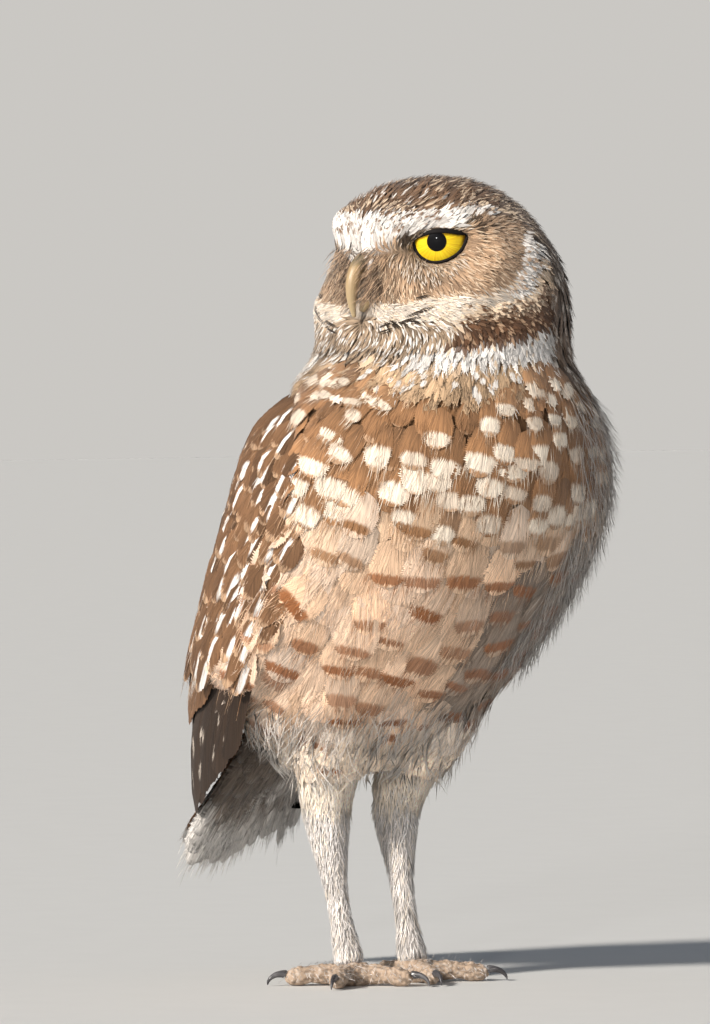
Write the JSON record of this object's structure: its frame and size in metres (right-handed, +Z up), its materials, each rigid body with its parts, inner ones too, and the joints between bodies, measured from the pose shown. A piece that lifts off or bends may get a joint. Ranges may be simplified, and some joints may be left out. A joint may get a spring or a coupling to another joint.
{
  "type": "burrowing owl",
  "caption": "Life-size still model of a small long-legged owl standing upright, head turned over one shoulder, wings folded.",
  "frame": {"origin": "middle of the part's box, at the level of the soles", "axes": "+Z up, -Y the way the breast faces, +X the bird's left"},
  "size_m": [0.1204, 0.1414, 0.2344],
  "materials": {
    "breast_feather": "matt buff and brown barred feather",
    "head_feather": "matt brown feather with white streaks",
    "wing_feather": "matt brown feather with white and buff spots",
    "leg_feather": "matt whitish short feather",
    "toe_skin": "matt pebbled skin",
    "claw_horn": "dark satin horn",
    "bill_horn": "pale satin horn",
    "eye": "wet gloss"
  },
  "bodies": {
    "root": {"bill_lower": "bill_horn", "bill_upper": "bill_horn", "claw_left_1": "claw_horn", "claw_left_2": "claw_horn", "claw_left_3": "claw_horn", "claw_left_4": "claw_horn", "claw_right_1": "claw_horn", "claw_right_2": "claw_horn", "claw_right_3": "claw_horn", "claw_right_4": "claw_horn", "eye_left": "eye", "eye_right": "eye", "foot_left": "toe_skin", "foot_right": "toe_skin", "head": "head_feather", "neck": "breast_feather", "shank_left": "leg_feather", "shank_right": "leg_feather", "shin_left": "leg_feather", "shin_right": "leg_feather", "tail": "wing_feather", "toe_left_1": "toe_skin", "toe_left_2": "toe_skin", "toe_left_3": "toe_skin", "toe_left_4": "toe_skin", "toe_right_1": "toe_skin", "toe_right_2": "toe_skin", "toe_right_3": "toe_skin", "toe_right_4": "toe_skin", "torso": "breast_feather", "wing_left": "wing_feather", "wing_right": "wing_feather"}
  },
  "joints": []
}
